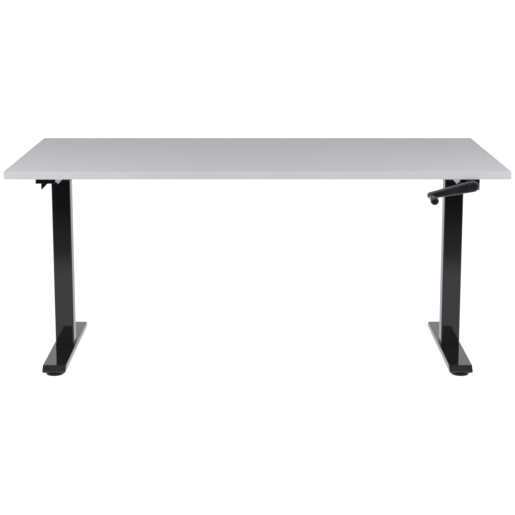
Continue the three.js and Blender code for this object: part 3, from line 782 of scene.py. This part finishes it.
# ---------------------------------------------------------------------------------------------
# Gear heads and cross shaft. Die-cast housings hold bevel gears, and a hexagonal shaft in a
# telescopic sleeve turns both lift screws together. They show from below and behind.
# ---------------------------------------------------------------------------------------------
home_body = {
    node: body for body, nodes in frame["record"]["behaviour"]["bodies"].items() for node in nodes
}


def softened(node, material, width, crease=30.0):
    """A piece with a CAD node's own shape: its loose triangles are joined, its flat areas made
    whole again, and every edge sharper than crease rounded off by width."""
    shape = bmesh.new()
    shape.from_mesh(frame["nodes"][node].data)
    bmesh.ops.remove_doubles(shape, verts=shape.verts, dist=0.00001)
    bmesh.ops.dissolve_limit(shape, angle_limit=math.radians(1), verts=shape.verts,
                             edges=shape.edges)
    mesh = bpy.data.meshes.new(f"soft_{node}")
    shape.to_mesh(mesh)
    shape.free()
    rounding = [("BEVEL", {"width": width, "segments": 2, "limit_method": "ANGLE",
                           "angle_limit": math.radians(crease), "harden_normals": True})]
    return show_piece(f"soft_{node}", mesh, material, home_body[node], [node],
                      crease, rounding)


cast_alloy = finish("cast_alloy", ((0.30, 0.31, 0.33), (0.40, 0.41, 0.42)), (0.42, 0.55),
                    grain=1300.0, depth=0.00006, metal=1.0, patch=30.0)
bronze = finish("gear_bronze", ((0.50, 0.33, 0.12), (0.60, 0.42, 0.17)), (0.25, 0.38),
                grain=900.0, depth=0.00001, metal=1.0, patch=60.0)
nylon = finish("natural_nylon", ((0.62, 0.60, 0.53), (0.70, 0.68, 0.62)), (0.40, 0.50),
               grain=1200.0, depth=0.00002, patch=30.0)
for side_name in SIDES:
    softened(f"gear_housing_{side_name}", cast_alloy, 0.0012)
    softened(f"column_plug_{side_name}", cast_alloy, 0.0008)
    softened(f"screw_bevel_{side_name}", bronze, 0.0002)
    softened(f"cross_bevel_{side_name}", plated, 0.0002)
    softened(f"drive_nut_{side_name}", nylon, 0.0006)
    softened(f"lower_slider_{side_name}", nylon, 0.0004)
    softened(f"screw_bearing_{side_name}", plated, 0.0003)
    softened(f"nut_tube_{side_name}", plated, 0.0003)
    for end in ("front", "back"):
        softened(f"foot_bolt_{side_name}_{end}", plated, 0.0003)
for node in ("input_bevel", "input_sleeve", "crank_shaft", "cross_shaft_rod", "cross_shaft_sleeve"):
    softened(node, plated, 0.0003)

# ---------------------------------------------------------------------------------------------
# Lift screws. Left-hand trapezoidal screws of rolled steel, 16 mm across with an 8 mm lead, that
# hang from the gear heads inside the columns and climb the nylon nuts.
# ---------------------------------------------------------------------------------------------
SCREW_SIDES = 32
JOURNAL_RADIUS = 0.006
for side_name in SIDES:
    low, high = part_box(f"lead_screw_{side_name}")
    head_low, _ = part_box(f"gear_housing_{side_name}")
    centre = np.array([(low.x + high.x) / 2, (low.y + high.y) / 2, 0.0])
    thread = thread_rings((high.x - low.x) / 2, pitch=0.008, depth=0.0018, z0=low.z,
                          z1=head_low.z, starts=-1, sides=SCREW_SIDES, rows_per_pitch=14)
    journal = turned_rings([(JOURNAL_RADIUS, head_low.z + 0.0001), (JOURNAL_RADIUS, high.z)],
                           SCREW_SIDES)
    rings = np.concatenate([thread, journal]) + centre
    make_piece(f"screw_{side_name}", rings, ring_faces(rings), plated, f"screw_{side_name}",
               [f"lead_screw_{side_name}"])

# ---------------------------------------------------------------------------------------------
# Studio. A pale floor without a visible edge, an overcast-like white sky, two soft side lights,
# and a glowing sheet that only reflections see, a painted reflection of the floor, which ends in
# front of the desk.
# ---------------------------------------------------------------------------------------------
scene = bpy.context.scene
scene.view_settings.view_transform = "Standard"
scene.view_settings.look = "None"


def stage_plane(name, x0, x1, y0, y1, z):
    """A flat rectangle of the studio, which isn't part of the desk."""
    mesh = bpy.data.meshes.new(name)
    mesh.from_pydata([(x0, y0, z), (x1, y0, z), (x1, y1, z), (x0, y1, z)], [], [(0, 1, 2, 3)])
    plane = bpy.data.objects.new(name, mesh)
    scene.collection.objects.link(plane)
    plane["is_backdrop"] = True
    return plane


FLOOR_REACH = 300.0
WHITE = (1, 1, 1, 1)
DIM = (0.05, 0.05, 0.05, 1)
floor = stage_plane("floor", -FLOOR_REACH, FLOOR_REACH, -FLOOR_REACH, FLOOR_REACH, -0.0005)
floor.visible_glossy = False
floor_paint = bpy.data.materials.new("floor_paint")
floor_paint.use_nodes = True
paint = floor_paint.node_tree.nodes["Principled BSDF"]
paint.inputs["Base Color"].default_value = (0.35, 0.35, 0.35, 1)
paint.inputs["Roughness"].default_value = 0.9
paint.inputs["Emission Color"].default_value = WHITE
paint.inputs["Emission Strength"].default_value = 0.86
floor.data.materials.append(floor_paint)

# What the gloss black coat sees below the horizon: a glowing sheet, a painted floor reflection, dim
# in front and white near and under the desk.
GLOW_SHEET_FRONT, GLOW_SHEET_FULL, GLOW_SHEET_BACK, GLOW_SHEET_SIDE = -2.6, -0.95, 8.0, 6.0
painted_reflection_sheet = stage_plane("painted_reflection_sheet", -GLOW_SHEET_SIDE, GLOW_SHEET_SIDE, GLOW_SHEET_FRONT, GLOW_SHEET_BACK, -0.001)
painted_reflection_sheet.visible_camera = False
painted_reflection_sheet.visible_diffuse = False
painted_reflection_sheet.visible_shadow = False
# Its emission paints the floor's reflection: dim at the sheet's front edge, brightening to white
# towards the desk.
painted_reflection_glow = bpy.data.materials.new("painted_reflection_glow")
painted_reflection_glow.use_nodes = True
nodes, links = painted_reflection_glow.node_tree.nodes, painted_reflection_glow.node_tree.links
nodes.remove(nodes["Principled BSDF"])
where = nodes.new("ShaderNodeTexCoord")
split = nodes.new("ShaderNodeSeparateXYZ")
links.new(where.outputs["Object"], split.inputs[0])
fade = nodes.new("ShaderNodeValToRGB")
fade.color_ramp.interpolation = "EASE"
stops = fade.color_ramp.elements
stops[0].position, stops[0].color = 0.0, DIM
stops[1].position, stops[1].color = 1.0, WHITE
part_way = stops.new(0.62)
part_way.color = (0.26, 0.26, 0.26, 1)
reach = nodes.new("ShaderNodeMapRange")
reach.inputs["From Min"].default_value = GLOW_SHEET_FRONT
reach.inputs["From Max"].default_value = GLOW_SHEET_FULL
links.new(split.outputs["Y"], reach.inputs["Value"])
links.new(reach.outputs["Result"], fade.inputs["Fac"])
tint = nodes.new("ShaderNodeMix")
tint.data_type = "RGBA"
tint.blend_type = "MULTIPLY"
tint.inputs["Factor"].default_value = 1.0
STUDIO_TINT = (1.0, 0.965, 1.015, 1)
tint.inputs["B"].default_value = STUDIO_TINT
links.new(fade.outputs["Color"], tint.inputs["A"])
glow = nodes.new("ShaderNodeEmission")
links.new(tint.outputs["Result"], glow.inputs["Color"])
links.new(glow.outputs[0], nodes["Material Output"].inputs["Surface"])
painted_reflection_sheet.data.materials.append(painted_reflection_glow)

# The sky is plain white behind the desk. It lights matt surfaces softly, and in reflections it is
# darker overhead, where the studio has no lamps, and below the horizon, past the sheet.
world = bpy.data.worlds.new("studio")
scene.world = world
world.use_nodes = True
nodes, links = world.node_tree.nodes, world.node_tree.links
backdrop = nodes["Background"]
backdrop.inputs["Color"].default_value = WHITE
where = nodes.new("ShaderNodeTexCoord")
split = nodes.new("ShaderNodeSeparateXYZ")
links.new(where.outputs["Generated"], split.inputs[0])
height = nodes.new("ShaderNodeMapRange")
height.inputs["From Min"].default_value = -1.0
height.inputs["From Max"].default_value = 1.0
links.new(split.outputs["Z"], height.inputs["Value"])
dome = nodes.new("ShaderNodeValToRGB")
stops = dome.color_ramp.elements
stops[0].position, stops[0].color = 0.488, DIM
stops[1].position, stops[1].color = 0.5, STUDIO_TINT
for position, share in ((0.75, 1.0), (0.87, 0.38), (1.0, 0.5)):
    stop = stops.new(position)
    stop.color = (share, share * STUDIO_TINT[1], share * STUDIO_TINT[2], 1)
links.new(height.outputs["Result"], dome.inputs["Fac"])
mirrored = nodes.new("ShaderNodeBackground")
links.new(dome.outputs["Color"], mirrored.inputs["Color"])
soft_sky = nodes.new("ShaderNodeBackground")
soft_sky.inputs["Color"].default_value = WHITE
soft_sky.inputs["Strength"].default_value = 0.5
path = nodes.new("ShaderNodeLightPath")
matt_or_gloss = nodes.new("ShaderNodeMixShader")
links.new(path.outputs["Is Glossy Ray"], matt_or_gloss.inputs["Fac"])
links.new(soft_sky.outputs[0], matt_or_gloss.inputs[1])
links.new(mirrored.outputs[0], matt_or_gloss.inputs[2])
seen = nodes.new("ShaderNodeMixShader")
links.new(path.outputs["Is Camera Ray"], seen.inputs["Fac"])
links.new(matt_or_gloss.outputs[0], seen.inputs[1])
links.new(backdrop.outputs[0], seen.inputs[2])
links.new(seen.outputs[0], nodes["World Output"].inputs["Surface"])


def soft_light(name, place, target, size, power):
    """A square softbox at place, facing target, that shows in no reflection."""
    lamp = bpy.data.lights.new(name, "AREA")
    lamp.shape = "SQUARE"
    lamp.size = size
    lamp.energy = power
    box = bpy.data.objects.new(name, lamp)
    box.visible_glossy = False
    box.location = place
    box.rotation_mode = "QUATERNION"
    box.rotation_quaternion = (Vector(target) - Vector(place)).to_track_quat("-Z", "Y")
    scene.collection.objects.link(box)


for name, side in (("light_left", -1), ("light_right", 1)):
    soft_light(name, place=(side * 1.45, -1.25, 1.75), target=(side * 0.5, -0.1, 0.7), size=0.7,
               power=22)

# The camera stands in front at eye height, looking slightly down.
camera_data = bpy.data.cameras.new("camera")
camera_data.lens = 82.33
camera_data.sensor_width = 36.0
camera_data.shift_y = -0.2
camera_data.clip_end = 1000.0
camera = bpy.data.objects.new("camera", camera_data)
camera.location = (0.0, -3.959, 1.360)
camera.rotation_euler = (math.radians(90 - 9.26), 0.0, 0.0)
scene.collection.objects.link(camera)
scene.camera = camera

low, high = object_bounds()
